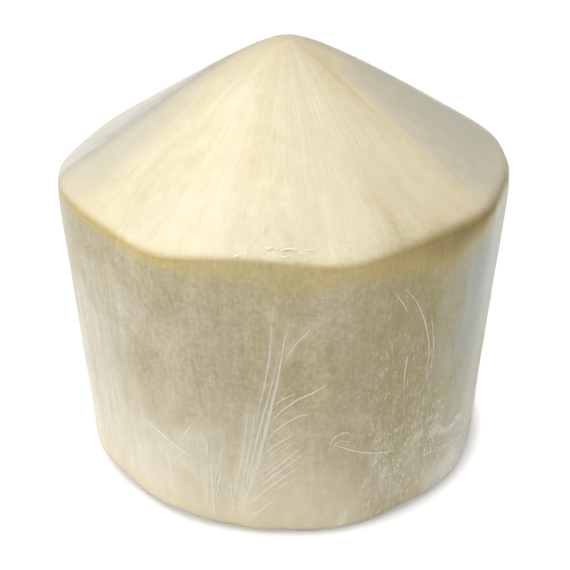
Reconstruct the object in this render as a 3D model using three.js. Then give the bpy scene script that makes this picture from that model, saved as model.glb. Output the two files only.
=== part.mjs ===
// A young coconut, peeled and trimmed with a knife and sealed in tight clear film.
// The pale husk is a short drum with a low cone on top, and every knife stroke leaves one broad flat.
// Millimetres and degrees, +Z up. The origin is the middle of the flat spot that the nut stands on.

import * as THREE from 'three';
import { ParametricGeometry } from 'three/addons/geometries/ParametricGeometry.js';
import { mergeVertices } from 'three/addons/utils/BufferGeometryUtils.js';

// Heights of the trimmed husk above the ground.
const shoulderHeight = 79.5; // where the wall meets the cone
const undersideHeight = 1.2; // the underside round the foot
const heartHeight = 45; // the middle of the nut, where all rays start

// The flat spot that it stands on, and the low step round it.
const footRadius = 40;
const footStepRadius = 45;

// How the cuts lean.
const wallFlare = 0.05; // the wall gains this much reach per mm upwards
const rimFlare = 0.95; // the bevel round the bottom edge gains this much
const coneFall = 0.66; // the lower cone falls this much per mm outwards
const crownFall = 0.44; // the flatter crown falls this much

// Knife strokes: the way each flat faces, in degrees from +X, and its reach from the axis in mm.
// Wall and cone reaches are taken at shoulder height, and those of the rim at the ground.
const wallStrokes = [
  [-171, 59.5], [-137, 59], [-97, 58.5], [-56, 58.5], [-19, 58],
  [10, 58.5], [45, 59], [80, 59], [115, 59], [150, 59],
];
const rimStrokes = [
  [-146, 52.5], [-117, 53], [-74, 54], [-39, 53], [-5, 53],
  [30, 53], [65, 53], [100, 53], [135, 53], [170, 53],
];
const coneStrokes = [
  [-130, 59], [-92, 59.5], [-57, 59.5], [-11, 60],
  [35, 61], [80, 59.5], [125, 58.5], [170, 58],
];
// The crown's flats would all meet the axis at the peak, but the tip is rounded off 2.6 mm lower.
const crownAzimuths = [-170, -125, -93, -62, -22, 25, 75, 128];
const crownPeak = 116;

// How crisp the edges are between neighbouring flats and between the tiers: more is sharper.
const wallCrispness = 28;
const rimCrispness = 60;
const coneCrispness = 40;
const crownCrispness = 90;
const lowerEdgeCrispness = 120;
const shoulderCrispness = 70;
const leastBevel = 1.5; // degrees of elevation that the bevel keeps where two of its flats meet

// The film's clearance from the husk, its thickness, and the radius of its open hem under the nut.
const filmGap = 0.3;
const filmThickness = 0.5;
const hemRadius = 47;

// Mesh density.
const columns = 60;
const crownRows = 10;
const wallRows = 8;
const rimRows = 2;
const undersideRows = 2;

const heart = new THREE.Vector3(0, 0, heartHeight);

// A flat cut that faces outwards and up or down, through a point at a reach and height.
function cut(azimuth, outward, upward, reach, height) {
  const angle = THREE.MathUtils.degToRad(azimuth);
  const away = new THREE.Vector3(Math.cos(angle), Math.sin(angle), 0);
  const normal = away.clone().multiplyScalar(outward).setZ(upward).normalize();
  const point = away.multiplyScalar(reach).setZ(height);
  return { normal, distance: point.sub(heart).dot(normal) };
}

const wallCuts = wallStrokes.map(([azimuth, reach]) => cut(azimuth, 1, -wallFlare, reach, shoulderHeight));
const rimCuts = rimStrokes.map(([azimuth, reach]) => cut(azimuth, 1, -rimFlare, reach, 0));
const coneCuts = coneStrokes.map(([azimuth, reach]) => cut(azimuth, coneFall, 1, reach, shoulderHeight));
const crownCuts = crownAzimuths.map((azimuth) => cut(azimuth, crownFall, 1, 0, crownPeak));
const undersideCut = cut(0, 0, -1, 0, undersideHeight);

// The largest of several values, with a rounded crossing from one to the next.
function roundedMax(values, crispness) {
  const largest = Math.max(...values);
  if (largest === 0) {
    return 0;
  }
  const sum = values.reduce((total, value) => total + Math.pow(value / largest, crispness), 0);
  return largest * Math.pow(sum, 1 / crispness);
}

// One over the length at which a cut ends a ray from the heart. offset moves the cut outwards.
function shortening(ray, flat, offset) {
  return Math.max(ray.dot(flat.normal), 0) / (flat.distance + offset);
}

function ringShortening(ray, cuts, crispness, offset) {
  return roundedMax(cuts.map((flat) => shortening(ray, flat, offset)), crispness);
}

function topShortening(ray, offset) {
  return roundedMax([
    ringShortening(ray, coneCuts, coneCrispness, offset),
    ringShortening(ray, crownCuts, crownCrispness, offset),
  ], coneCrispness);
}

function rayAt(azimuth, elevation) {
  const level = Math.cos(elevation);
  return new THREE.Vector3(level * Math.cos(azimuth), level * Math.sin(azimuth), Math.sin(elevation));
}

// The point where a ray leaves the nut, or a skin at an offset round it.
function surfacePoint(ray, offset) {
  const lower = roundedMax([
    ringShortening(ray, wallCuts, wallCrispness, offset),
    ringShortening(ray, rimCuts, rimCrispness, offset),
    shortening(ray, undersideCut, offset),
  ], lowerEdgeCrispness);
  const whole = roundedMax([lower, topShortening(ray, offset)], shoulderCrispness);
  return ray.clone().divideScalar(whole).add(heart);
}

// The elevation at which the upper cuts give way to the lower ones, seen along one azimuth.
function edgeElevation(azimuth, upper, lower, lowest, highest) {
  let low = THREE.MathUtils.degToRad(lowest);
  let high = THREE.MathUtils.degToRad(highest);
  for (let step = 0; step < 30; step += 1) {
    const middle = (low + high) / 2;
    const ray = rayAt(azimuth, middle);
    if (upper(ray) > lower(ray)) {
      high = middle;
    } else {
      low = middle;
    }
  }
  return (low + high) / 2;
}

const topAt = (ray) => topShortening(ray, 0);
const wallAt = (ray) => ringShortening(ray, wallCuts, wallCrispness, 0);
const rimAt = (ray) => ringShortening(ray, rimCuts, rimCrispness, 0);
const sideAt = (ray) => Math.max(wallAt(ray), rimAt(ray));
const undersideAt = (ray) => shortening(ray, undersideCut, 0);

// Elevations from one edge to the next, closer together near both edges.
function band(from, to, rows) {
  const stations = [];
  for (let row = 1; row <= rows; row += 1) {
    const share = (1 - Math.cos((Math.PI * row) / rows)) / 2;
    stations.push(from + (to - from) * share);
  }
  return stations;
}

// The rays of one column, from the tip down the cone and the wall to the hem on the underside.
function columnRays(azimuth) {
  const top = Math.PI / 2;
  const shoulder = edgeElevation(azimuth, topAt, wallAt, 10, 60);
  const bottom = edgeElevation(azimuth, sideAt, undersideAt, -50, -20);
  const rimTop = edgeElevation(azimuth, wallAt, rimAt, -50, -20);
  const bevel = Math.max(rimTop, bottom + THREE.MathUtils.degToRad(leastBevel));
  const hem = -Math.atan2(heartHeight - undersideHeight, hemRadius);
  const elevations = [
    top,
    ...band(top, shoulder, crownRows),
    ...band(shoulder, bevel, wallRows),
    ...band(bevel, bottom, rimRows),
    ...band(bottom, hem, undersideRows),
  ];
  return elevations.map((elevation) => rayAt(azimuth, elevation));
}

const columnAzimuths = Array.from({ length: columns }, (_, i) => (2 * Math.PI * i) / columns);
const raysByColumn = columnAzimuths.map(columnRays);

// A closed skin from one list of points for each column. Every list starts and ends on the axis.
function skin(pointsByColumn) {
  const rows = pointsByColumn[0].length - 1;
  const place = (u, v, target) => {
    const column = Math.round(u * columns) % columns;
    target.copy(pointsByColumn[column][Math.round((1 - v) * rows)]);
  };
  const geometry = new ParametricGeometry(place, columns, rows);
  geometry.deleteAttribute('normal');
  geometry.deleteAttribute('uv');
  const merged = mergeVertices(geometry);
  merged.computeVertexNormals();
  return merged;
}

function onAxis(point) {
  return point.clone().setX(0).setY(0);
}

function ring(azimuth, radius, height) {
  return new THREE.Vector3(radius * Math.cos(azimuth), radius * Math.sin(azimuth), height);
}

// The husk goes on under the film to its flat foot.
function coconutGeometry() {
  return skin(raysByColumn.map((rays, i) => {
    const points = rays.map((ray) => surfacePoint(ray, 0));
    points[0] = onAxis(points[0]);
    points.push(ring(columnAzimuths[i], footStepRadius, undersideHeight));
    points.push(ring(columnAzimuths[i], footRadius, 0));
    points.push(new THREE.Vector3(0, 0, 0));
    return points;
  }));
}

// The film goes down the inside, round its hem and back up the outside.
function filmGeometry() {
  return skin(raysByColumn.map((rays) => {
    const inner = rays.map((ray) => surfacePoint(ray, filmGap));
    const outer = rays.map((ray) => surfacePoint(ray, filmGap + filmThickness));
    inner[0] = onAxis(inner[0]);
    outer[0] = onAxis(outer[0]);
    return [...outer, ...inner.reverse()];
  }));
}

const huskMaterial = new THREE.MeshStandardMaterial({ color: 0xe3d6ae, roughness: 0.75, metalness: 0 });
const filmMaterial = new THREE.MeshStandardMaterial({
  color: 0xf2f3ef,
  roughness: 0.12,
  metalness: 0,
  transparent: true,
  opacity: 0.2,
});

function piece(name, geometry, material) {
  const mesh = new THREE.Mesh(geometry, material);
  mesh.name = name;
  return mesh;
}

const greenCoconut = new THREE.Group();
greenCoconut.add(piece('coconut', coconutGeometry(), huskMaterial));
greenCoconut.add(piece('film', filmGeometry(), filmMaterial));

export default greenCoconut;
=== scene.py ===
import math
import random

import bpy
import numpy as np
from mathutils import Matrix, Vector, noise
from mathutils.bvhtree import BVHTree


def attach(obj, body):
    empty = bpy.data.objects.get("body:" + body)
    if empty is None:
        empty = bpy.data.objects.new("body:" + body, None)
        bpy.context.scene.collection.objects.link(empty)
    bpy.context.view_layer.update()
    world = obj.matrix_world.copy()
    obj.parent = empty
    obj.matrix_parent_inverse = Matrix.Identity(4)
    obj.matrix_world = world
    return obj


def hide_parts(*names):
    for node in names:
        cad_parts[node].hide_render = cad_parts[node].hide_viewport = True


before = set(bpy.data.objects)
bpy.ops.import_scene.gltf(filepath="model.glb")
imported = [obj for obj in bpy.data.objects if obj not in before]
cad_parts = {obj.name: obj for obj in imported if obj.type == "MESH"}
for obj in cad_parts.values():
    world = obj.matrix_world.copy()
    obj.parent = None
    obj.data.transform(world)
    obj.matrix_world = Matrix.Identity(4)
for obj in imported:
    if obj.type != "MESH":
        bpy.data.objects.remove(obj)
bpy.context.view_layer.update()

# A peeled and trimmed young coconut in tight clear film. Metres, +Z up, and the camera looks along +Y.
# Azimuths are in degrees round the nut's axis from +X, so the side that faces the camera is at -90.

mm = 0.001
wallRadius = 60  # mm, the nut's usual radius, which turns degrees round it into millimetres


# Small tools for objects

def pick(*objs):
    if bpy.context.mode != "OBJECT":
        bpy.ops.object.mode_set(mode="OBJECT")
    bpy.ops.object.select_all(action="DESELECT")
    for obj in objs:
        obj.select_set(True)
        bpy.context.view_layer.objects.active = obj


formValues = {
    "mergedWithin": 0.01,  # mm
    "sharpFrom": 24,  # degrees between two flats
    "crispBelow": 8,  # mm: higher up every edge is rounded
    "rounding": 2,  # levels of subdivision
}


def smoothedCopy(nodeName):  # a rounder copy of a CAD node, to wrap the finer skins on
    values = formValues
    copy = bpy.data.objects.new("form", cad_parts[nodeName].data.copy())
    bpy.context.collection.objects.link(copy)
    pick(copy)
    bpy.ops.object.mode_set(mode="EDIT")
    bpy.ops.mesh.select_all(action="SELECT")
    bpy.ops.mesh.remove_doubles(threshold=values["mergedWithin"] * mm)
    bpy.ops.mesh.tris_convert_to_quads()
    bpy.ops.mesh.select_all(action="DESELECT")
    bpy.ops.mesh.edges_select_sharp(sharpness=math.radians(values["sharpFrom"]))
    bpy.ops.object.mode_set(mode="OBJECT")
    for edge in copy.data.edges:  # only the cut bottom edge stays crisp
        if any(copy.data.vertices[corner].co.z > values["crispBelow"] * mm for corner in edge.vertices):
            edge.select = False
    bpy.ops.object.mode_set(mode="EDIT")
    bpy.ops.transform.edge_crease(value=1)
    bpy.ops.object.mode_set(mode="OBJECT")
    rounding = copy.modifiers.new("round", "SUBSURF")
    rounding.levels = rounding.render_levels = values["rounding"]
    bpy.ops.object.modifier_apply(modifier="round")
    return copy


def stations(bands):  # elevations from the top down, from (start, end, rows) bands
    marks = [bands[0][0]]
    for start, end, rows in bands:
        marks += [start + (end - start) * (row + 1) / rows for row in range(rows)]
    return [math.radians(mark) for mark in marks]


seamWidth = 0.001  # mm, within which the points of a ball's seam and pole are merged


def spunBall(name, values):  # a small ball round the heart: one profile, extruded point by point and turned
    pick()
    bpy.ops.mesh.primitive_plane_add(size=mm)
    ball = bpy.context.object
    ball.name = ball.data.name = name
    bpy.ops.object.mode_set(mode="EDIT")
    bpy.ops.mesh.merge(type="CENTER")
    radius = values["ballRadius"] * mm
    bpy.ops.transform.translate(value=(0, 0, values["heartHeight"] * mm + radius))
    marks = stations(values["bands"])
    for last, mark in zip(marks, marks[1:]):
        step = (radius * (math.cos(mark) - math.cos(last)), 0, radius * (math.sin(mark) - math.sin(last)))
        bpy.ops.mesh.extrude_vertices_move(TRANSFORM_OT_translate={"value": step})
    bpy.ops.object.mode_set(mode="OBJECT")
    turn = ball.modifiers.new("turn", "SCREW")
    turn.steps = turn.render_steps = values["columns"]
    turn.use_merge_vertices = True
    turn.merge_threshold = seamWidth * mm
    bpy.ops.object.modifier_apply(modifier="turn")
    bpy.ops.object.mode_set(mode="EDIT")
    bpy.ops.mesh.select_all(action="SELECT")
    bpy.ops.mesh.remove_doubles(threshold=seamWidth * mm)
    bpy.ops.mesh.normals_make_consistent(inside=False)
    bpy.ops.object.mode_set(mode="OBJECT")
    return ball


def wrapped(ball, form, lift):  # blows the ball up until it lies on the form, lifted off it by lift mm
    pick(ball)
    wrap = ball.modifiers.new("wrap", "SHRINKWRAP")
    wrap.target = form
    wrap.wrap_method = "PROJECT"
    wrap.use_positive_direction = True
    wrap.wrap_mode = "ABOVE_SURFACE"
    wrap.offset = lift * mm
    bpy.ops.object.modifier_apply(modifier="wrap")
    bpy.ops.object.shade_smooth()
    return ball


# Small tools for points on a skin. Places are in mm and degrees there.

def places(mesh):
    flat = np.empty(3 * len(mesh.vertices))
    mesh.vertices.foreach_get("co", flat)
    points = flat.reshape(-1, 3) / mm
    azimuth = np.degrees(np.arctan2(points[:, 1], points[:, 0]))
    return points, azimuth, np.hypot(points[:, 0], points[:, 1]), points[:, 2]


def keepPlaces(mesh, points):
    mesh.vertices.foreach_set("co", (points * mm).ravel())
    mesh.update()


def outward(mesh):
    flat = np.empty(3 * len(mesh.vertices))
    mesh.vertices.foreach_get("normal", flat)
    return flat.reshape(-1, 3)


def paint(mesh, name, values):
    layer = mesh.attributes.new(name, "FLOAT", "POINT")
    layer.data.foreach_set("value", np.asarray(values, dtype=np.float32))


def rise(x, low, high):  # 0 below low, 1 above high, smooth between
    t = np.clip((x - low) / (high - low), 0, 1)
    return t * t * (3 - 2 * t)


def window(x, low, high, soft):
    return rise(x, low - soft, low + soft) * (1 - rise(x, high - soft, high + soft))


def sweep(azimuth, centre):  # degrees from centre, never more than half a turn
    return (azimuth - centre + 180) % 360 - 180


def alongWall(degrees):  # mm along the wall
    return degrees * math.pi / 180 * wallRadius


def wallDegrees(length):  # the degrees that a length in mm takes up along the wall
    return math.degrees(length / wallRadius)


def slanted(azimuth, height, slant):  # leans a patch over by degrees per mm, round one height
    return azimuth - slant["perMm"] * (height - slant["from"])


def aroundTheNut(azimuth, table):  # a value that changes smoothly between (azimuth, value) marks
    marks, values = zip(*sorted(table))
    return np.interp(azimuth, marks, values, period=360)


wobble = {"degrees": 5, "turnedSize": (5, 7), "height": 7, "raisedSize": (6, 8)}  # sizes and height in mm


def wobbled(points, azimuth, height, seed):  # moves places a little, so that a patch gets a ragged outline
    turned = azimuth + wobble["degrees"] * fibreNoise(points, *wobble["turnedSize"], seed)
    raised = height + wobble["height"] * fibreNoise(points, *wobble["raisedSize"], seed + 5)
    return turned, raised


def nearPaths(azimuth, height, paths, reach):  # 1 on any of the paths, 0 further than reach mm from them
    nearest = np.full_like(azimuth, np.inf)
    for _, marks in paths:
        for mark in alongPath(marks, reach):
            across = alongWall(sweep(azimuth, mark.x))
            nearest = np.minimum(nearest, np.hypot(across, height - mark.y))
    fullWithin = 0.3 * reach
    return 1 - rise(nearest, fullWithin, reach)


def patches(azimuth, height, table):  # soft rectangles: azimuth from, to, height from, to, softness, strength
    total = np.zeros_like(azimuth)
    for fromAzimuth, toAzimuth, low, high, softness, strength in table:
        middle, half = (fromAzimuth + toAzimuth) / 2, (toAzimuth - fromAzimuth) / 2
        across = window(sweep(azimuth, middle), -half, half, wallDegrees(softness))
        total = np.maximum(total, strength * across * window(height, low, high, softness))
    return total


def fibreNoise(points, width, length, seed):  # long noise that runs up the wall and over the cone to the tip
    angle = np.arctan2(points[:, 1], points[:, 0])
    ringScale = wallRadius / width
    samples = zip(np.cos(angle) * ringScale, np.sin(angle) * ringScale, points[:, 2] / length)
    return np.array([noise.noise(Vector((x + seed, y, z))) for x, y, z in samples])


# One corner of the bottom edge stands out further than its neighbours.
cornerValues = {
    "azimuth": -97,
    "halfWidth": 3,  # degrees, as is its softness
    "softness": 6,
    "swell": 0.9,  # mm
    "fades": (3, 16),  # mm of height over which it fades out upwards
    "starts": (47, 50),  # mm from the axis over which it sets in
}


def cornerSwell(azimuth, radius, height):
    values = cornerValues
    fromCorner = sweep(azimuth, values["azimuth"])
    across = window(fromCorner, -values["halfWidth"], values["halfWidth"], values["softness"])
    low = 1 - rise(height, *values["fades"])
    return values["swell"] * across * low * rise(radius, *values["starts"])


# The shoulder is sought between two heights in mm, where the skin faces up by a share between two others.
shoulderValues = {"lowest": 70, "highest": 90, "leastUpward": 0.3, "mostUpward": 0.62, "spread": 6}


def shoulderHeights(mesh, azimuth, height):  # mm, at each azimuth, where the wall turns into the cone
    values = shoulderValues
    slot = np.floor(azimuth + 180).astype(int) % 360
    upward = outward(mesh)[:, 2]
    rim = (height > values["lowest"]) & (height < values["highest"])
    rim &= (upward > values["leastUpward"]) & (upward < values["mostUpward"])
    total, count = np.zeros(360), np.zeros(360)
    np.add.at(total, slot[rim], height[rim])
    np.add.at(count, slot[rim], 1)
    ringHeight = total / np.maximum(count, 1)
    shifts = range(-values["spread"], values["spread"] + 1)  # degrees over which the heights are evened out
    ringHeight = sum(np.roll(ringHeight, shift) for shift in shifts) / len(shifts)
    return aroundTheNut(azimuth, list(zip(np.arange(360) - 179.5, ringHeight)))


# Small tools for shader nodes

def place(tree, kind, inputs=None, **settings):
    made = tree.nodes.new(kind)
    for key, value in settings.items():
        setattr(made, key, value)
    for socket, value in (inputs or {}).items():
        if isinstance(value, bpy.types.NodeSocket):
            tree.links.new(value, made.inputs[socket])
        else:
            made.inputs[socket].default_value = value
    return made


def sums(tree, operation, first, second, clamp=False):
    inputs = {0: first, 1: second}
    return place(tree, "ShaderNodeMath", inputs, operation=operation, use_clamp=clamp).outputs[0]


def weighed(tree, first, firstShare, second, secondShare):  # both added up, each times its share
    firstPart = sums(tree, "MULTIPLY", first, firstShare)
    secondPart = sums(tree, "MULTIPLY", second, secondShare)
    return sums(tree, "ADD", firstPart, secondPart)


def vectors(tree, operation, inputs):
    return place(tree, "ShaderNodeVectorMath", inputs, operation=operation).outputs[0]


def mixed(tree, share, first, second):
    inputs = {0: share, 6: first, 7: second}
    return place(tree, "ShaderNodeMix", inputs, data_type="RGBA").outputs[2]


def mask(tree, name):
    return place(tree, "ShaderNodeAttribute", attribute_name=name).outputs["Fac"]


def ranged(tree, value, fromLow, fromHigh, toLow=0.0, toHigh=1.0):
    inputs = {"Value": value, "From Min": fromLow, "From Max": fromHigh, "To Min": toLow, "To Max": toHigh}
    return place(tree, "ShaderNodeMapRange", inputs).outputs[0]


def colours(tree, value, stops):  # a colour ramp from (position, colour) stops
    made = place(tree, "ShaderNodeValToRGB", {"Fac": value})
    elements = made.color_ramp.elements
    while len(elements) < len(stops):
        elements.new(0.5)
    for element, (position, colour) in zip(elements, stops):
        element.position = position
        element.color = (*colour, 1)
    return made.outputs["Color"]


def grains(tree, position, scale, detail=3.0, roughness=0.6):
    inputs = {"Vector": position, "Scale": scale, "Detail": detail, "Roughness": roughness}
    return place(tree, "ShaderNodeTexNoise", inputs).outputs["Fac"]


def newMaterial(name):
    material = bpy.data.materials.new(name)
    material.use_nodes = True
    tree = material.node_tree
    shader = tree.nodes["Principled BSDF"]
    position = place(tree, "ShaderNodeTexCoord").outputs["Object"]
    return material, tree, shader, position


def setSockets(shader, values):
    for socket, value in values.items():
        shader.inputs[socket].default_value = value


def makeFibreGroup():  # streaks that run up the wall and meet at the tip, in millimetres of width and length
    group = bpy.data.node_groups.new("fibreStreaks", "ShaderNodeTree")
    group.interface.new_socket("Position", in_out="INPUT", socket_type="NodeSocketVector")
    for socketName, default in (("Width", 1.0), ("Length", 12.0), ("Waver", 0.4), ("Seed", 0.0)):
        socket = group.interface.new_socket(socketName, in_out="INPUT", socket_type="NodeSocketFloat")
        socket.default_value = default
    group.interface.new_socket("Streak", in_out="OUTPUT", socket_type="NodeSocketFloat")
    given = group.nodes.new("NodeGroupInput").outputs
    apart = place(group, "ShaderNodeSeparateXYZ", {0: given["Position"]}).outputs
    level = place(group, "ShaderNodeCombineXYZ", {"X": apart["X"], "Y": apart["Y"]}).outputs[0]
    facing = vectors(group, "NORMALIZE", {0: level})
    ringScale = sums(group, "DIVIDE", float(wallRadius), given["Width"])
    ring = vectors(group, "SCALE", {0: facing, "Scale": ringScale})
    along = sums(group, "DIVIDE", sums(group, "MULTIPLY", apart["Z"], 1 / mm), given["Length"])
    climb = place(group, "ShaderNodeCombineXYZ", {"X": given["Seed"], "Z": along}).outputs[0]
    straight = vectors(group, "ADD", {0: ring, 1: climb})
    slowInputs = {"Vector": straight, "Scale": 0.35, "Detail": 1.0}
    slow = place(group, "ShaderNodeTexNoise", slowInputs).outputs["Color"]
    centred = vectors(group, "SUBTRACT", {0: slow, 1: (0.5, 0.5, 0.5)})
    bend = vectors(group, "SCALE", {0: centred, "Scale": given["Waver"]})
    bent = vectors(group, "ADD", {0: straight, 1: bend})
    streak = grains(group, bent, 1.0)
    end = group.nodes.new("NodeGroupOutput")
    group.links.new(streak, end.inputs["Streak"])
    return group


def fibres(tree, position, width, length, waver, seed):
    made = tree.nodes.new("ShaderNodeGroup")
    made.node_tree = fibreGroup
    tree.links.new(position, made.inputs["Position"])
    for socketName, value in (("Width", width), ("Length", length), ("Waver", waver), ("Seed", seed)):
        made.inputs[socketName].default_value = value
    return made.outputs["Streak"]


fibreGroup = makeFibreGroup()


# The husk

huskValues = {
    "heartHeight": 45,  # mm
    "ballRadius": 30,
    "columns": 720,
    "bands": [(90, 60, 10), (60, 36, 18), (36, 26, 34), (26, -32, 30), (-32, -46, 22), (-46, -90, 8)],
    "lift": 0.35,  # mm outside the CAD solid, so that the husk fills the film
    "fibreRelief": 0.05,  # mm
    "fibreSize": (1.1, 16),  # mm wide and long
    "knifeRelief": 0.16,
    "knifeSize": (9, 35),
    "reliefFoot": (1.5, 5),  # mm of height over which the relief sets in
    "reliefTip": (4, 12),  # and mm from the axis
    "seed": 11,
}
# The ochre stain under the shoulder: its strength and its depth in mm, round the nut.
ochreStrength = [(-180, 0.5), (-150, 0.75), (-118, 0.7), (-98, 0.5), (-80, 0.55), (-70, 0.8), (-52, 0.95),
                 (-40, 1.0), (-25, 0.75), (10, 0.5), (50, 0.8), (95, 0.5), (140, 0.7)]
ochreDepth = [(-180, 3), (-150, 2.6), (-118, 4), (-98, 10), (-80, 9), (-70, 7), (-60, 9), (-50, 12),
              (-40, 9), (-25, 4), (10, 3), (50, 7), (95, 4), (140, 9)]
# Olive-brown stains down the wall, as patches: azimuth from, to, height from, to, softness in mm, strength.
oliveStains = [(-71, -45, -5, 80, 8, 1.0), (-97, -83, 40, 80, 5, 0.45), (-82, -77, 20, 60, 3, 0.3),
               (28, 52, -5, 80, 5, 0.8), (120, 134, 10, 80, 4, 0.5)]
# The stain's darkest corner: how dark it is and how deep in mm, round the nut.
darkStrength = [(-180, 0), (-74, 0), (-62, 0.35), (-53, 0.8), (-46, 1.0), (-36, 0.9), (-25, 0.6), (-12, 0.5),
                (8, 0)]
darkDepth = [(-180, 3), (-62, 5), (-52, 9), (-44, 7), (-36, 3.5), (-20, 3)]
# Painted bounce light: how much paler the foot of the wall is painted, round the nut, where light from the
# white floor would fall on it.
paleStrength = [(-170, 0.8), (-130, 1.0), (-100, 0.9), (-80, 0.75), (-62, 0.75), (-48, 0.95), (-38, 1.0),
                (0, 0.8), (90, 0.8)]
# Painted shade: how much greener and darker the wall is painted on the side that the lamps light less, round
# the nut.
paintedShadeStrength = [(-180, 0), (-62, 0), (-46, 0.45), (-38, 0.9), (-15, 1.0), (10, 0.5), (45, 0.2), (90, 0)]
# Painted shade: how much greyer and darker the cone is painted on its far sides, round the nut.
paintedConeShadeStrength = [(-180, 0.85), (-168, 0.4), (-155, 0.2), (-142, 0), (-35, 0), (0, 0.15), (80, 0.1), (140, 0.6)]
# Where each tone begins and where it is full, in mm.
toneReach = {
    "cone": (-0.4, 1.0),  # up from the shoulder
    "topTones": (0, 2),
    "ochre": (-1.6, 0.6),  # down from the shoulder
    "dark": (-2.4, 0),
    "olive": (8, 36),  # up from the ground
    "paintedShade": (10, 60),
    "paintedConeShade": (4, 20),  # out from the axis
}
# Where each tone is still full and where it ends, in mm.
toneEnd = {
    "pale": (4, 50),  # up from the ground
    "paintedWarmBounce": (2, 14),
    "tip": (2, 26),  # out from the axis
}
# The cone's crispest ridge, with its width and the distances from the axis in mm at which it comes and goes.
ridgeValues = {"azimuth": -42, "width": 1.3, "comes": (3, 9), "goes": (18, 44)}
# Tan patches on the cone, with the same numbers as the olive stains.
tanPatches = [(-64, -34, 79, 90, 4, 0.5), (-50, -40, 90, 108, 3, 0.35), (-112, -104, 92, 103, 3, 0.3)]
# A short slit in the wall: its ends as (azimuth, height in mm), and the rest in mm.
slitMark = {"top": (-111.8, 53.5), "bottom": (-110.2, 39), "width": 0.45, "depth": 0.15, "softness": 1.5}
huskColours = {
    "cone": [(0.34, (0.74, 0.635, 0.40)), (0.48, (0.81, 0.73, 0.50)), (0.62, (0.85, 0.79, 0.59))],
    "wall": [(0.34, (0.37, 0.31, 0.165)), (0.48, (0.485, 0.415, 0.25)), (0.62, (0.60, 0.53, 0.35))],
    # The next colour is painted bounce light from the floor on the foot of the wall.
    "pale": (0.88, 0.80, 0.61, 1),
    # The next colour is painted shade, greenish, for the side of the wall that the lamps light less.
    "paintedShade": (0.46, 0.49, 0.38, 1),
    # The next colour is painted shade for the cone's far sides.
    "paintedConeShade": (0.58, 0.54, 0.44, 1),
    "tip": (0.60, 0.49, 0.29, 1),
    "ridge": (0.68, 0.50, 0.26, 1),
    # The next colour is painted warm bounce light on the very foot of the wall.
    "paintedWarmBounce": (0.88, 0.75, 0.47, 1),
    "olive": (0.40, 0.33, 0.11, 1),
    "ochre": (0.62, 0.455, 0.11, 1),
    "dark": (0.30, 0.21, 0.045, 1),
    "slit": (0.36, 0.29, 0.12, 1),
}


def onSlit(azimuth, height):  # 1 on the short slit in the wall, 0 beside it
    (topAzimuth, top), (bottomAzimuth, bottom) = slitMark["top"], slitMark["bottom"]
    middle = topAzimuth + (bottomAzimuth - topAzimuth) * ((top - height) / (top - bottom))
    across = alongWall(np.abs(sweep(azimuth, middle)))
    return np.exp(-(across / slitMark["width"]) ** 2) * window(height, bottom, top, slitMark["softness"])


def onRidge(azimuth, radius):
    values = ridgeValues
    across = radius * np.radians(sweep(azimuth, values["azimuth"]))
    along = rise(radius, *values["comes"]) * (1 - rise(radius, *values["goes"]))
    return along * np.exp(-(across / values["width"]) ** 2)


def makeHusk(form):
    values = huskValues
    husk = wrapped(spunBall("trimmedHusk", values), form, values["lift"])
    mesh = husk.data
    points, azimuth, radius, height = places(mesh)
    drop = shoulderHeights(mesh, azimuth, height) - height
    slit = onSlit(azimuth, height)

    setIn = rise(height, *values["reliefFoot"]) * rise(radius, *values["reliefTip"])
    relief = values["fibreRelief"] * fibreNoise(points, *values["fibreSize"], values["seed"])
    relief += values["knifeRelief"] * fibreNoise(points, *values["knifeSize"], values["seed"] + 7)
    relief = relief * setIn - slitMark["depth"] * slit
    relief += cornerSwell(azimuth, radius, height)
    points = points + outward(mesh) * relief[:, None]
    points[:, 2] = np.maximum(points[:, 2], 0)  # the foot stays on the ground
    keepPlaces(mesh, points)

    paint(mesh, "cone", rise(-drop, *toneReach["cone"]))
    strength = aroundTheNut(azimuth, ochreStrength)
    depth = aroundTheNut(azimuth, ochreDepth)
    paint(mesh, "ochre", strength * rise(drop, *toneReach["ochre"]) * (1 - rise(drop, 0.25 * depth, depth)))
    strength = aroundTheNut(azimuth, darkStrength)
    depth = aroundTheNut(azimuth, darkDepth)
    paint(mesh, "dark", strength * rise(drop, *toneReach["dark"]) * (1 - rise(drop, 0.2 * depth, depth)))
    ragged = wobbled(points, azimuth, height, values["seed"] + 20)
    paint(mesh, "olive", patches(*ragged, oliveStains) * (0.55 + 0.45 * rise(height, *toneReach["olive"])))
    # Painted shade on the right of the wall, stronger higher up.
    paintedShade = aroundTheNut(azimuth, paintedShadeStrength)
    paint(mesh, "paintedShade", paintedShade * (0.45 + 0.55 * rise(height, *toneReach["paintedShade"])))
    # Painted bounce light: the foot of the wall is painted paler, fading upwards.
    paint(mesh, "pale", aroundTheNut(azimuth, paleStrength) * (1 - rise(height, *toneEnd["pale"])))
    # Painted bounce light: the lowest few mm of the wall are painted warmer and lighter.
    paint(mesh, "paintedWarmBounce", 1 - rise(height, *toneEnd["paintedWarmBounce"]))
    onCone = rise(-drop, *toneReach["topTones"])
    paint(mesh, "tip", onCone * (1 - rise(radius, *toneEnd["tip"])))
    # Painted shade on the cone's far sides, away from the tip.
    paint(mesh, "paintedConeShade", aroundTheNut(azimuth, paintedConeShadeStrength) * rise(radius, *toneReach["paintedConeShade"]))
    paint(mesh, "ridge", onCone * np.maximum(onRidge(azimuth, radius), patches(*ragged, tanPatches)))
    paint(mesh, "slit", slit)
    mesh.materials.append(cutHuskMaterial())
    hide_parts("coconut")
    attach(husk, "root")
    print("husk:", len(mesh.vertices), "vertices")
    return husk


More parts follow.
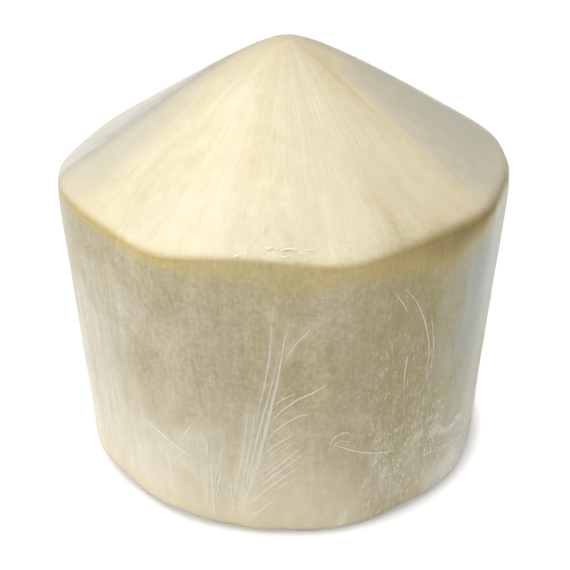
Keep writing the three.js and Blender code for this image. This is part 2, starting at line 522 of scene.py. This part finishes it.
def cutHuskMaterial():
    tones = huskColours
    material, tree, shader, position = newMaterial("cutHusk")
    hair = fibres(tree, position, width=0.45, length=4, waver=1.0, seed=0.0)
    strand = fibres(tree, position, width=1.2, length=9, waver=1.0, seed=3.0)
    blotch = fibres(tree, position, width=8, length=18, waver=1.0, seed=9.0)
    mottle = grains(tree, position, 260.0, detail=5.0, roughness=0.7)
    speckle = grains(tree, position, 900.0)
    streak = weighed(tree, hair, 0.55, strand, 0.45)
    patchy = weighed(tree, blotch, 0.5, mottle, 0.5)
    coneTone = weighed(tree, streak, 0.42, patchy, 0.58)
    coneTone = sums(tree, "ADD", coneTone, ranged(tree, speckle, 0.3, 0.7, -0.05, 0.05))
    wallTone = weighed(tree, streak, 0.35, patchy, 0.65)
    wallTone = sums(tree, "ADD", wallTone, ranged(tree, speckle, 0.3, 0.7, -0.08, 0.08))
    coneColour = colours(tree, coneTone, tones["cone"])
    wallColour = colours(tree, wallTone, tones["wall"])
    # Painted bounce light from the floor, paler towards the foot of the wall.
    pale = sums(tree, "MULTIPLY", mask(tree, "pale"), ranged(tree, patchy, 0.3, 0.7, 0.7, 1.0))
    wallColour = mixed(tree, pale, wallColour, tones["pale"])
    # Painted shade, greenish, on the side of the wall that the lamps light less.
    paintedShade = sums(tree, "MULTIPLY", mask(tree, "paintedShade"), ranged(tree, patchy, 0.3, 0.7, 1.0, 0.7))
    wallColour = mixed(tree, paintedShade, wallColour, tones["paintedShade"])
    # Painted shade, grey, on the cone's far sides.
    paintedConeShade = sums(tree, "MULTIPLY", mask(tree, "paintedConeShade"), ranged(tree, patchy, 0.3, 0.7, 0.7, 1.0))
    coneColour = mixed(tree, paintedConeShade, coneColour, tones["paintedConeShade"])
    tip = sums(tree, "MULTIPLY", mask(tree, "tip"), ranged(tree, streak, 0.3, 0.7, 0.6, 0.2))
    coneColour = mixed(tree, tip, coneColour, tones["tip"])
    ridge = sums(tree, "MULTIPLY", mask(tree, "ridge"), 0.4)
    coneColour = mixed(tree, ridge, coneColour, tones["ridge"])
    colour = mixed(tree, mask(tree, "cone"), wallColour, coneColour)
    # Painted warm bounce light at the very foot of the wall.
    paintedWarmBounce = sums(tree, "MULTIPLY", mask(tree, "paintedWarmBounce"), ranged(tree, blotch, 0.3, 0.7, 0.3, 0.8))
    colour = mixed(tree, paintedWarmBounce, colour, tones["paintedWarmBounce"])
    olive = sums(tree, "MULTIPLY", mask(tree, "olive"), ranged(tree, wallTone, 0.36, 0.60, 0.98, 0.3))
    colour = mixed(tree, olive, colour, tones["olive"])
    ochreEdge = ranged(tree, sums(tree, "ADD", hair, speckle), 0.7, 1.3, 0.55, 1.0)
    ochre = sums(tree, "MULTIPLY", mask(tree, "ochre"), ochreEdge)
    colour = mixed(tree, ochre, colour, tones["ochre"])
    dark = sums(tree, "MULTIPLY", mask(tree, "dark"), ranged(tree, blotch, 0.3, 0.6, 0.8, 1.0))
    colour = mixed(tree, dark, colour, tones["dark"])
    slit = sums(tree, "MULTIPLY", mask(tree, "slit"), 0.6)
    colour = mixed(tree, slit, colour, tones["slit"])
    height = sums(tree, "ADD", hair, sums(tree, "MULTIPLY", strand, 1.5))
    bump = place(tree, "ShaderNodeBump", {"Height": height, "Strength": 0.4, "Distance": 0.12 * mm})
    tree.links.new(colour, shader.inputs["Base Color"])
    tree.links.new(bump.outputs[0], shader.inputs["Normal"])
    setSockets(shader, {"Roughness": 0.7, "Specular IOR Level": 0.3})
    return material


# The film

filmValues = {
    "heartHeight": 45,  # mm
    "ballRadius": 30,
    "columns": 600,
    "bands": [(90, 60, 10), (60, 36, 18), (36, 26, 26), (26, -32, 48), (-32, -42.8, 14)],
    "lift": 0.72,  # mm outside the CAD husk
    "leastHeight": 0.1,  # mm off the ground
    "ripple": 0.10,  # mm
    "rippleSize": (14, 22),  # mm wide and long
    "rippleTip": (4, 12),  # mm from the axis over which the ripple sets in
    "reliefFoot": (1.5, 4),  # mm of height over which the ripple and the fold set in
    "index": 1.45,  # of refraction
    "mostGloss": 0.34,  # of the light, however flat it falls on the film
    "flatSize": (0.25, 0.21),  # metres of film before it was stretched over the nut
    "bundleVeil": 0.16,  # how milky the film is beside the bundle of creases
    "crinkleVeil": 0.10,  # and beside those low on the left
    "veilReach": 2.0,  # mm
    "seed": 31,
}
# Milky places, as patches: azimuth from, to, height from, to, softness in mm, strength. Some are the film's
# own haze and some are painted reflection, such as the broad white patches on the left.
hazeAndSheenPatches = [
    (-120, -108, 20, 31, 3, 0.28),
    (-131, -121, 24, 30, 2.5, 0.24),
    (-165, -134, 14, 60, 8, 0.36),
    (-150, -122, 10, 30, 8, 0.3),
    (-150, -124, 55, 68, 5, 0.2),
    (-50, -26, -2, 12, 4, 0.5),
    (-122, -104, 36, 64, 6, 0.14),
    (-99, -89, 82.4, 87, 1.2, 0.13),
    (-50, -38, 19, 22, 1.2, 0.5),
    (40, 58, 20, 60, 6, 0.4),
    (150, 172, 5, 45, 7, 0.45),
]
# Small blobs, with the same numbers.
milkyBlobs = [(-76, -74.6, 2.5, 8, 1.0, 0.55), (-67.6, -66.2, 13, 18, 0.9, 0.5),
              (-59.5, -57, 22.5, 25, 0.9, 0.45)]
blobSlant = {"perMm": 0.25, "from": 6}  # degrees per mm, and the height in mm that stays in place
# A painted reflection: the bluish patch of a bright light reflected in the film on the right of the wall.
paintedReflectionPatches = [(-47, -22, 43, 75, 6, 0.25)]
paintedReflectionSlant = {"perMm": 0.12, "from": 60}
# Painted reflections: grey veils on the cone's sides, where the film reflects its grey surroundings at a
# slant.
paintedGreyVeilPatches = [(-190, -146, 83, 102, 6, 0.24), (-38, 10, 84, 108, 4, 0.22)]
speckledPatches = [(-70, -44, -2, 34, 5, 1.0), (-72, -48, 20, 60, 5, 0.5), (-125, -108, 18, 34, 4, 0.4),
                   (70, 100, 5, 40, 6, 0.8)]
crinkledPatches = [(-104, -84, 80.5, 86, 1.2, 1.0), (-80, -74, 80.5, 83.5, 0.8, 0.7),
                   (100, 120, 79, 85, 2, 0.8)]
lowerFold = {
    "azimuths": (-50, -16),
    "heights": (16.8, 9.5),  # mm, at those azimuths
    "window": (-44, -12, 6),  # azimuth from, to, softness
    "lift": 0.35,  # mm
    "lip": (-0.5, 0.5),  # mm above the fold's line over which it stands up
    "slope": (2, 14),  # and over which it sinks back
}
filmColours = {
    # The next colour is the film's milky haze, partly its own and partly painted reflection.
    "hazeAndSheen": (0.95, 0.93, 0.87, 1),
    # The next colour is the painted reflection's bluish tint.
    "paintedReflection": (0.60, 0.68, 0.67, 1),
    # The next colour is the painted grey veil on the cone.
    "paintedGreyVeil": (0.74, 0.75, 0.75, 1),
}


def foldBulge(azimuth, height):
    values = lowerFold
    above = height - np.interp(azimuth, values["azimuths"], values["heights"])
    across = window(azimuth, *values["window"])
    return values["lift"] * across * rise(above, *values["lip"]) * (1 - rise(above, *values["slope"]))


def makeFilm(form):
    values = filmValues
    film = wrapped(spunBall("clingFilm", values), form, values["lift"])
    mesh = film.data
    points, azimuth, radius, height = places(mesh)
    ripple = values["ripple"] * fibreNoise(points, *values["rippleSize"], values["seed"])
    ripple *= rise(radius, *values["rippleTip"])
    offset = (ripple + foldBulge(azimuth, height)) * rise(height, *values["reliefFoot"])
    offset += cornerSwell(azimuth, radius, height)
    points = points + outward(mesh) * offset[:, None]
    points[:, 2] = np.maximum(points[:, 2], values["leastHeight"])
    keepPlaces(mesh, points)
    ragged = wobbled(points, azimuth, height, values["seed"] + 20)
    bundleVeil = values["bundleVeil"] * nearPaths(azimuth, height, bundleCreases, values["veilReach"])
    crinkleVeil = values["crinkleVeil"] * nearPaths(azimuth, height, leftCreases, values["veilReach"])
    blobs = patches(slanted(azimuth, height, blobSlant), height, milkyBlobs)
    # Partly the film's own haze and partly painted reflection.
    hazeAndSheen = np.maximum(patches(*ragged, hazeAndSheenPatches), blobs)
    paint(mesh, "hazeAndSheen", np.maximum(hazeAndSheen, np.maximum(bundleVeil, crinkleVeil)))
    # Painted reflection: the bluish patch on the right.
    paint(mesh, "paintedReflection", patches(slanted(ragged[0], height, paintedReflectionSlant), ragged[1], paintedReflectionPatches))
    # Painted reflection: the grey veils on the cone.
    paint(mesh, "paintedGreyVeil", patches(azimuth, height, paintedGreyVeilPatches))
    paint(mesh, "speckled", patches(*ragged, speckledPatches))
    paint(mesh, "crinkled", patches(azimuth, height, crinkledPatches))
    mesh.materials.append(clearFilmMaterial())
    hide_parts("film")
    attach(film, "root")
    print("film:", len(mesh.vertices), "vertices")
    return film


def clearFilmMaterial():
    values = filmValues
    tones = filmColours
    material, tree, shader, position = newMaterial("clearFilm")
    streak = fibres(tree, position, width=1.6, length=18, waver=0.9, seed=21.0)
    wisp = fibres(tree, position, width=6, length=30, waver=1.0, seed=27.0)
    fleck = fibres(tree, position, width=0.7, length=2.2, waver=1.2, seed=33.0)
    dot = fibres(tree, position, width=0.5, length=0.9, waver=1.0, seed=39.0)
    crinkle = grains(tree, position, 420.0, detail=4.0, roughness=0.7)
    swell = grains(tree, position, 90.0, detail=2.0, roughness=0.5)
    crinkleShare = sums(tree, "ADD", sums(tree, "MULTIPLY", mask(tree, "crinkled"), 1.2), 0.05)
    wrinkles = sums(tree, "ADD", sums(tree, "MULTIPLY", crinkle, crinkleShare), swell)
    bumpInputs = {"Height": wrinkles, "Strength": 0.6, "Distance": 0.8 * mm}
    normal = place(tree, "ShaderNodeBump", bumpInputs).outputs[0]
    behind = place(tree, "ShaderNodeNewGeometry").outputs["Backfacing"]  # 1 where the film is met from inside
    index = ranged(tree, behind, 0.0, 1.0, values["index"], 1 / values["index"])
    oneFace = place(tree, "ShaderNodeFresnel", {"IOR": index, "Normal": normal}).outputs[0]
    gloss = sums(tree, "MINIMUM", oneFace, values["mostGloss"])
    cloud = sums(tree, "ADD", streak, wisp)
    # Milky haze: partly the film's own and partly painted reflection.
    hazeAndSheen = sums(tree, "MULTIPLY", mask(tree, "hazeAndSheen"), ranged(tree, cloud, 0.7, 1.2, 0.3, 1.0))
    # Painted reflection: how strongly the film shows the bluish patch.
    paintedReflection = sums(tree, "MULTIPLY", mask(tree, "paintedReflection"), ranged(tree, cloud, 0.6, 1.2, 0.6, 1.0))
    specks = sums(tree, "MAXIMUM", fleck, sums(tree, "SUBTRACT", dot, 0.03))
    flecks = sums(tree, "MULTIPLY", mask(tree, "speckled"), ranged(tree, specks, 0.55, 0.69, 0.0, 0.55))
    faint = ranged(tree, streak, 0.45, 0.8, 0.0, 0.05)
    # Painted reflections: the bluish patch and the grey veils.
    paintedReflectionAndVeil = sums(tree, "MAXIMUM", paintedReflection, mask(tree, "paintedGreyVeil"))
    haze = sums(tree, "MAXIMUM", sums(tree, "MAXIMUM", hazeAndSheen, paintedReflectionAndVeil), sums(tree, "MAXIMUM", flecks, faint))
    glossPart = sums(tree, "MULTIPLY", gloss, sums(tree, "SUBTRACT", 1.0, haze))
    alpha = sums(tree, "ADD", haze, glossPart, clamp=True)
    both = sums(tree, "MAXIMUM", sums(tree, "ADD", haze, gloss), 0.001)
    metallic = sums(tree, "DIVIDE", gloss, both, clamp=True)
    # The film's colour turns bluish where it paints the reflection, and grey where it paints the veil on the
    # cone.
    colour = mixed(tree, ranged(tree, mask(tree, "paintedReflection"), 0.0, 0.3), tones["hazeAndSheen"], tones["paintedReflection"])
    colour = mixed(tree, ranged(tree, mask(tree, "paintedGreyVeil"), 0.0, 0.2), colour, tones["paintedGreyVeil"])
    tree.links.new(colour, shader.inputs["Base Color"])
    tree.links.new(alpha, shader.inputs["Alpha"])
    tree.links.new(metallic, shader.inputs["Metallic"])
    tree.links.new(normal, shader.inputs["Normal"])
    setSockets(shader, {"Roughness": 0.14})
    return material


# Creases in the film: thin raised ridges on it. Their white is partly the film's own whitening at a fold and
# partly a painted highlight.

creaseValues = {
    "pointSpacing": 1.2,  # mm
    "lift": 0.02,  # mm from the film to the ridge's middle
    "flatness": 0.6,  # of a round ridge's height
    "crest": 0.8,  # of the usual half width: how high a ridge is where it turns fully white
    "bluntness": 0.6,  # of its ends: less is blunter
    "leastShare": 0.02,  # of its length, which keeps its very ends from closing
    "unevenness": 0.3,  # of its width
    "unevenPace": 0.35,  # per point
    "bevelResolution": 2,
    "colour": (0.97, 0.96, 0.90, 1),
    "opacity": {"white": 1.0, "bright": 0.62, "soft": 0.42},
    "seed": 47,
}
# Each crease is a path of (azimuth, height) marks. The first number is its half width in mm.
bundleCreases = [
    (0.22, [(-93.1, 68.1), (-93.3, 63.2), (-93.7, 56.8), (-94.3, 52.1), (-95.1, 46.7), (-96.3, 41.3),
           (-97.5, 34.6)]),
    (0.30, [(-89.5, 65.3), (-90.0, 62.6), (-90.6, 58.9), (-91.4, 52.8), (-92.1, 48.0), (-93.1, 42.5),
           (-94.4, 35.4), (-95.5, 30.2), (-97.0, 23.2), (-98.4, 18.3), (-100.3, 12.0), (-101.8, 6.3)]),
    (0.16, [(-84.1, 64.6), (-86.8, 61.0), (-88.4, 58.6), (-89.7, 55.9), (-90.9, 52.8)]),
    (0.24, [(-91.4, 57.0), (-92.4, 53.2), (-93.2, 48.3), (-94.5, 42.4), (-95.7, 37.3), (-96.8, 32.1),
           (-97.9, 26.8), (-99.3, 20.9), (-100.5, 14.8), (-101.8, 9.1)]),
    (0.18, [(-91.9, 50.8), (-92.9, 45.5), (-93.9, 40.0), (-95.1, 34.3), (-96.3, 28.6), (-97.8, 22.6),
           (-99.3, 17.1)]),
    (0.20, [(-97.2, 41.2), (-98.0, 35.1), (-98.8, 29.4), (-100.1, 21.9), (-101.5, 13.6), (-102.6, 7.9)]),
    (0.17, [(-99.2, 40.5), (-100.0, 31.8), (-101.4, 22.3), (-102.5, 16.7)]),
    (0.24, [(-102.2, 19.5), (-103.0, 13.9), (-103.8, 7.1)]),
    (0.15, [(-105.7, 27.6), (-106.8, 22.2), (-107.9, 16.7)]),
    (0.24, [(-107.4, 20.5), (-108.4, 14.4), (-109.3, 7.0)]),
    (0.14, [(-109.6, 27.7), (-110.1, 20.1), (-110.4, 10.2)]),
]
fanCreases = [
    (0.20, [(-93.8, 36.0), (-91.6, 39.4), (-87.7, 43.5), (-84.0, 45.9), (-80.4, 48.7)]),
    (0.15, [(-93.1, 41.2), (-90.8, 43.6), (-87.6, 45.7)]),
    (0.18, [(-94.8, 30.5), (-92.8, 33.5), (-90.0, 36.6), (-86.9, 38.8), (-84.1, 39.8)]),
    (0.17, [(-95.8, 25.9), (-93.3, 28.9), (-90.0, 31.7), (-88.0, 33.5)]),
    (0.14, [(-95.5, 24.4), (-93.0, 27.2), (-90.0, 30.1)]),
    (0.15, [(-97.2, 17.7), (-94.2, 20.5), (-90.0, 25.1), (-85.2, 30.7)]),
    (0.16, [(-97.8, 14.5), (-94.2, 18.6), (-90.0, 22.9), (-85.6, 27.6)]),
    (0.18, [(-99.5, 9.9), (-95.1, 14.8), (-90.0, 20.1), (-86.4, 23.5)]),
    (0.12, [(-93.4, 14.4), (-90.0, 17.5), (-86.6, 20.2)]),
    (0.18, [(-99.6, 5.3), (-96.9, 7.9), (-94.1, 10.9), (-91.9, 13.2)]),
    (0.10, [(-93.3, 26.2), (-90.8, 28.1), (-87.6, 31.4)]),
    (0.10, [(-96.7, 20.1), (-93.3, 23.3), (-89.6, 27.1)]),
]
leftCreases = [
    (0.26, [(-131.4, 28.5), (-125.4, 28.6), (-120.6, 27.2), (-116.7, 25.2), (-112.9, 22.9), (-110.6, 20)]),
    (0.18, [(-116.5, 26.9), (-114.1, 31.7), (-112.3, 34.2)]),
    (0.20, [(-110.5, 30.3), (-109.6, 28.9), (-109.6, 25)]),
    (0.24, [(-109, 23.5), (-108.9, 14), (-109, 4.8)]),
    (0.24, [(-106.3, 20.5), (-107.6, 14), (-108.3, 10.2)]),
    (0.20, [(-104.4, 17.4), (-103.9, 11), (-103.6, 4.5)]),
    (0.16, [(-121, 26), (-120, 17), (-119.6, 9)]),
]
# Painted highlights: white marks along the shoulder that stand in for glints on the wrinkled film.
edgeGlints = [
    (0.20, [(-101.6, 80.9), (-100.9, 81.1), (-100, 81.4)]),
    (0.14, [(-98.4, 82.8), (-97.6, 83.3), (-97, 83.6)]),
    (0.14, [(-96.4, 84.6), (-95.7, 85.1), (-95.2, 85.5)]),
    (0.20, [(-94.6, 82.1), (-93.5, 82.5), (-92.6, 82.6)]),
    (0.26, [(-91.6, 82.0), (-89.6, 82.4), (-87.6, 82.2)]),
    (0.12, [(-86.8, 82.0), (-84.6, 82.3), (-82.6, 82.1)]),
    (0.16, [(-77, 82.7), (-76, 82.5), (-75.4, 82.2)]),
]
rightCreases = [
    (0.17, [(-64, 71.7), (-59.3, 66), (-55.3, 57.6), (-53.4, 49.6), (-53.6, 40.6)]),
    (0.15, [(-66.3, 71), (-63.7, 67.5), (-61, 63)]),
    (0.18, [(-59.9, 52), (-60.5, 46.4), (-60.2, 40.2)]),
    (0.14, [(-54.0, 60), (-52.0, 50), (-52.4, 42)]),
    (0.20, [(-79.5, 30.8), (-74.5, 27.8), (-67.5, 24.3), (-59.4, 21.7)]),
    (0.18, [(-80, 30), (-78, 33), (-75.4, 33.4), (-74, 31)]),
    (0.15, [(-79.4, 29.4), (-77, 31.2), (-74.6, 30)]),
    (0.22, [(-48.7, 16.8), (-43, 15.8), (-38.7, 15.6), (-31.7, 13.7), (-24, 10.8), (-18, 9.6)]),
    (0.14, [(-41, 19), (-34, 18.6), (-27, 16.2), (-21, 13.6)]),
    (0.12, [(-38, 21.6), (-31, 20.8), (-25, 18.4)]),
]

# Scattered wrinkles, and the glint sets, which are white marks that paint highlights on the wrinkled film:
# ranges of azimuth, and of height, stride and half width in mm. The heading is a mean and a spread in degrees
# from level.
shoulderGlints = {"count": 16, "azimuth": (-101, -88), "height": (80.9, 82.4), "heading": (8, 14),
                  "bend": 0.2, "stride": (0.3, 0.8), "halfWidth": (0.06, 0.12), "seed": 5}
coneGlints = {"count": 3, "azimuth": (-103, -94), "height": (82, 85.5), "heading": (35, 20), "bend": 0.1,
              "stride": (0.3, 0.8), "halfWidth": (0.05, 0.11), "seed": 6}
smallGlints = {"count": 1, "azimuth": (-77, -75), "height": (81.2, 82.4), "heading": (-40, 20), "bend": 0.4,
               "stride": (0.3, 0.7), "halfWidth": (0.08, 0.16), "seed": 8}
wallCreases = {"count": 70, "azimuth": (-30, 210), "height": (4, 55), "heading": (90, 4), "bend": 0.06,
               "stride": (2.0, 6.0), "halfWidth": (0.08, 0.2), "seed": 13}
strideCount = 3  # straight bits of one wrinkle


def alongPath(marks, spacing):  # a smooth path through the marks, with points about spacing mm apart
    path = [Vector(marks[0])]
    ends = [marks[0], *marks, marks[-1]]
    for before, start, end, after in zip(ends, ends[1:], ends[2:], ends[3:]):
        b, s, e, a = (Vector(mark) for mark in (before, start, end, after))
        length = math.hypot(alongWall(e.x - s.x), e.y - s.y)
        steps = max(2, round(length / spacing))
        for step in range(1, steps + 1):
            t = step / steps
            path.append(0.5 * (2 * s + (e - b) * t + (2 * b - 5 * s + 4 * e - a) * t * t
                               + (3 * s - b - 3 * e + a) * t * t * t))
    return path


def onFilm(tree, azimuth, height, lift):
    angle = math.radians(azimuth)
    away = Vector((math.cos(angle), math.sin(angle), 0))
    spot, normal, _, _ = tree.ray_cast(Vector((0, 0, height * mm)), away)
    return spot + normal * lift * mm


def makeCreases(name, creases, tree, material):
    values = creaseValues
    draw = random.Random(values["seed"])
    curve = bpy.data.curves.new(name, "CURVE")
    curve.dimensions = "3D"
    curve.bevel_depth = mm
    curve.bevel_resolution = values["bevelResolution"]
    for halfWidth, marks in creases:
        path = alongPath(marks, values["pointSpacing"])
        phase = draw.uniform(0, 100)
        strand = curve.splines.new("POLY")
        strand.points.add(len(path) - 1)
        for index, (point, mark) in enumerate(zip(strand.points, path)):
            share = index / (len(path) - 1)
            point.co = (*onFilm(tree, mark.x, mark.y, values["lift"]), 1)
            share = min(max(share, values["leastShare"]), 1 - values["leastShare"])
            taper = math.sin(math.pi * share) ** values["bluntness"]
            wander = noise.noise(Vector((phase, index * values["unevenPace"], 0)))
            point.radius = halfWidth * taper * (1 + values["unevenness"] * wander)
    creasesObject = bpy.data.objects.new(name, curve)
    bpy.context.collection.objects.link(creasesObject)
    pick(creasesObject)
    bpy.ops.object.convert(target="MESH")
    creasesObject = bpy.context.object
    above = []
    for point in creasesObject.data.vertices:  # pressed flat, because a crease is only a low ridge
        foot, normal, _, _ = tree.find_nearest(point.co)
        above.append((point.co - foot).dot(normal) / mm)
        point.co = foot + (point.co - foot) * values["flatness"]
    crest = values["crest"] * sum(halfWidth for halfWidth, _ in creases) / len(creases)
    paint(creasesObject.data, "crest", rise(np.array(above), 0, crest))
    bpy.ops.object.shade_smooth()
    creasesObject.data.materials.append(material)
    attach(creasesObject, "root")
    print(name + ":", len(creases), "creases")
    return creasesObject


def squiggles(values):  # short wrinkles scattered over a patch
    draw = random.Random(values["seed"])
    creases = []
    for _ in range(values["count"]):
        azimuth = draw.uniform(*values["azimuth"])
        height = draw.uniform(*values["height"])
        heading = math.radians(draw.gauss(*values["heading"]))
        marks = [(azimuth, height)]
        for _ in range(strideCount):
            heading += draw.uniform(-values["bend"], values["bend"])
            stride = draw.uniform(*values["stride"])
            azimuth += wallDegrees(stride * math.cos(heading))
            height += stride * math.sin(heading)
            marks.append((azimuth, height))
        creases.append((draw.uniform(*values["halfWidth"]), marks))
    return creases


# The crease colour is partly the fold's own whitening and partly a painted highlight.
def creaseMaterial(name, alpha):
    material, tree, shader, position = newMaterial(name)
    glint = grains(tree, position, 500.0)
    opacity = sums(tree, "MULTIPLY", mask(tree, "crest"), ranged(tree, glint, 0.35, 0.65, 0.7 * alpha, alpha))
    tree.links.new(opacity, shader.inputs["Alpha"])
    setSockets(shader, {"Base Color": creaseValues["colour"], "Roughness": 0.4})
    return material


# The studio

cameraValues = {
    "elevation": 28.89,  # degrees above level
    "distance": 0.304,
    "target": (-0.000286, 0, 0.0424),
    "lens": 68.04,  # millimetres, as is the sensor
    "sensor": 36,
    "clipStart": 0.01,
}
lightValues = {
    "key": {"place": (-0.46, -0.34, 0.80), "size": 1.2, "power": 7.6, "colour": (1.0, 0.99, 0.97)},
    "top": {"place": (-0.10, 0.15, 0.95), "size": 0.9, "power": 2.0, "colour": (1.0, 0.99, 0.97)},
}
worldValues = {"colour": (0.97, 0.98, 1.0, 1), "strength": 0.40}
# The floor glows where nothing else would make it white: in sight, but hardly as a lamp under the nut.
# Further out the glow paints over the lamps' cast shadow; right beside the nut it is weaker, so only a thin
# contact shadow is left there.
floorValues = {
    "size": 6.0,
    "colour": (0.62, 0.62, 0.615, 1),
    "shadowFillGlow": (0.27, 0.97),  # beside the nut and further out
    "glowReach": (0.0545, 0.0605),  # metres from its axis between the two
    "dimmedAsLamp": 0.87,
    "dimmedMirrored": 0.5,
}


def makeStudio():
    pick()
    bpy.ops.mesh.primitive_plane_add(size=floorValues["size"])
    floor = bpy.context.object
    floor.name = "floor"
    material, tree, shader, position = newMaterial("paleFloor")
    away = place(tree, "ShaderNodeVectorMath", {0: position}, operation="LENGTH").outputs["Value"]
    # Painted light: strong further out, where it covers the lamps' shadow, and weak beside the nut, where a
    # thin contact shadow stays.
    shadowFillGlow = ranged(tree, away, *floorValues["glowReach"], *floorValues["shadowFillGlow"])
    sight = place(tree, "ShaderNodeLightPath").outputs
    asLamp = sums(tree, "MULTIPLY", sight["Is Diffuse Ray"], floorValues["dimmedAsLamp"])
    mirrored = sums(tree, "MULTIPLY", sight["Is Glossy Ray"], floorValues["dimmedMirrored"])
    seen = sums(tree, "MULTIPLY", shadowFillGlow, sums(tree, "SUBTRACT", 1.0, sums(tree, "ADD", asLamp, mirrored)))
    tree.links.new(seen, shader.inputs["Emission Strength"])
    setSockets(shader, {"Base Color": floorValues["colour"], "Roughness": 0.9, "Specular IOR Level": 0.1,
                        "Emission Color": (1, 1, 1, 1)})
    floor.data.materials.append(material)
    aim = Vector(cameraValues["target"])
    for name, values in lightValues.items():
        bpy.ops.object.light_add(type="AREA", location=values["place"])
        light = bpy.context.object
        light.name = name
        light.rotation_euler = (aim - light.location).to_track_quat("-Z", "Y").to_euler()
        light.data.size = values["size"]
        light.data.energy = values["power"]
        light.data.color = values["colour"]
    world = bpy.data.worlds.new("studio")
    bpy.context.scene.world = world
    world.use_nodes = True
    setSockets(world.node_tree.nodes["Background"],
               {"Color": worldValues["colour"], "Strength": worldValues["strength"]})
    bpy.context.scene.view_settings.view_transform = "Standard"
    print("studio:", len(lightValues), "lights")


def makeCamera():
    values = cameraValues
    tilt = math.radians(values["elevation"])
    back = Vector((0, -math.cos(tilt), math.sin(tilt)))
    bpy.ops.object.camera_add(location=Vector(values["target"]) + back * values["distance"],
                              rotation=(math.pi / 2 - tilt, 0, 0))
    camera = bpy.context.object
    camera.data.sensor_width = values["sensor"]
    camera.data.lens = values["lens"]
    camera.data.clip_start = values["clipStart"]
    bpy.context.scene.camera = camera


makeCamera()
makeStudio()
form = smoothedCopy("coconut")
husk = makeHusk(form)
film = makeFilm(form)
bpy.data.objects.remove(form)
skinTree = BVHTree.FromPolygons([point.co for point in film.data.vertices],
                                [face.vertices for face in film.data.polygons])
# The white material paints glints: highlights on the wrinkled film, shown as white marks.
white = creaseMaterial("paintedGlint", creaseValues["opacity"]["white"])
bright = creaseMaterial("brightCrease", creaseValues["opacity"]["bright"])
soft = creaseMaterial("softCrease", creaseValues["opacity"]["soft"])
creases = [
    makeCreases("bundleCreases", bundleCreases, skinTree, soft),
    makeCreases("fanCreases", fanCreases, skinTree, bright),
    makeCreases("leftCreases", leftCreases, skinTree, bright),
    makeCreases("rightCreases", rightCreases, skinTree, bright),
    makeCreases("edgeGlints", edgeGlints, skinTree, white),
    makeCreases("shoulderGlints", squiggles(shoulderGlints), skinTree, white),
    makeCreases("coneGlints", squiggles(coneGlints), skinTree, white),
    makeCreases("smallGlints", squiggles(smallGlints), skinTree, white),
    makeCreases("wallFibreCreases", squiggles(wallCreases), skinTree, soft),
]
